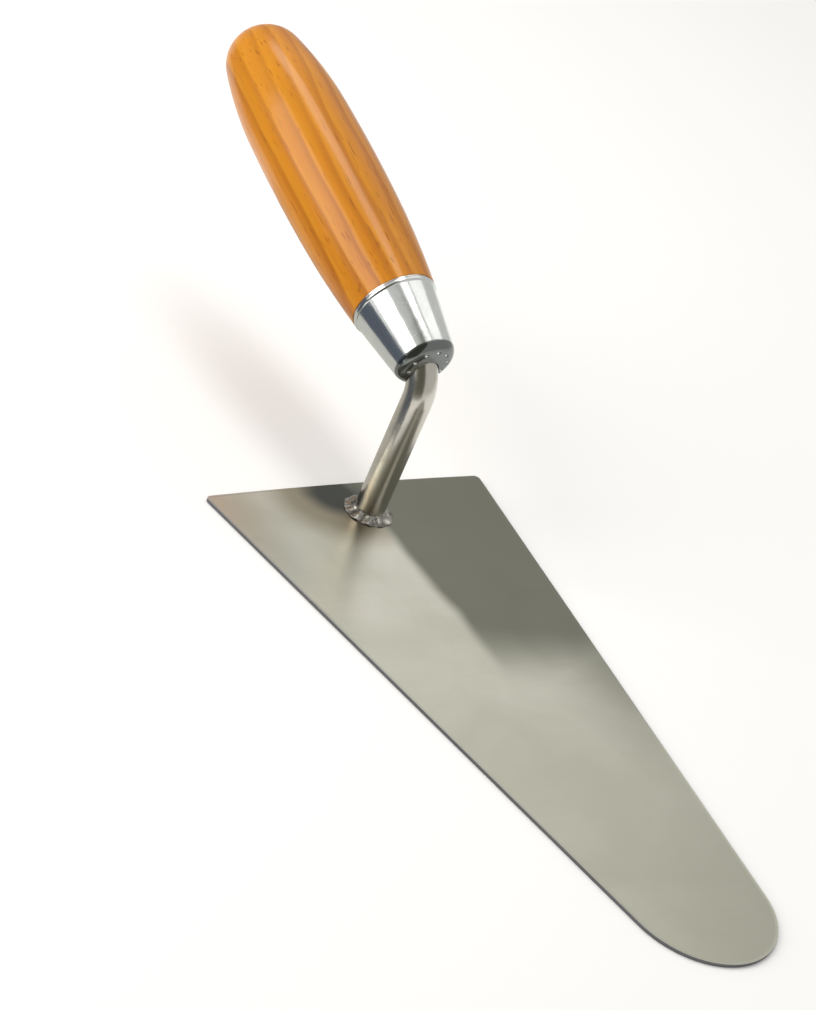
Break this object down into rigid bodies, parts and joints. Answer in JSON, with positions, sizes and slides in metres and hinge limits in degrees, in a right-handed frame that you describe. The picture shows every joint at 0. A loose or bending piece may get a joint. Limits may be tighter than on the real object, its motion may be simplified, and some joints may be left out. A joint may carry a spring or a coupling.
{
  "type": "brick trowel",
  "caption": "Brick trowel: flat round-tipped steel blade, cranked round-bar shank welded near the heel, pressed ferrule and turned varnished wooden handle.",
  "frame": {"origin": "on the blade's underside, where the shank's centre line meets it", "axes": "+X along the blade towards its round tip, +Z out of the blade's top face towards the handle, +Y to the left of a user who looks along +X"},
  "size_m": [0.3424, 0.1114, 0.1048],
  "materials": {
    "blade_steel": "satin ground sheet steel",
    "shank_steel": "polished round bar",
    "weld_steel": "cleaned weld metal",
    "ferrule_plate": "bright plated pressed steel",
    "varnished_wood": "orange-brown beech under clear gloss varnish"
  },
  "bodies": {
    "root": {"blade": "blade_steel", "shank": "shank_steel", "foot_weld": "weld_steel", "ferrule": "ferrule_plate", "handle": "varnished_wood"}
  },
  "joints": []
}
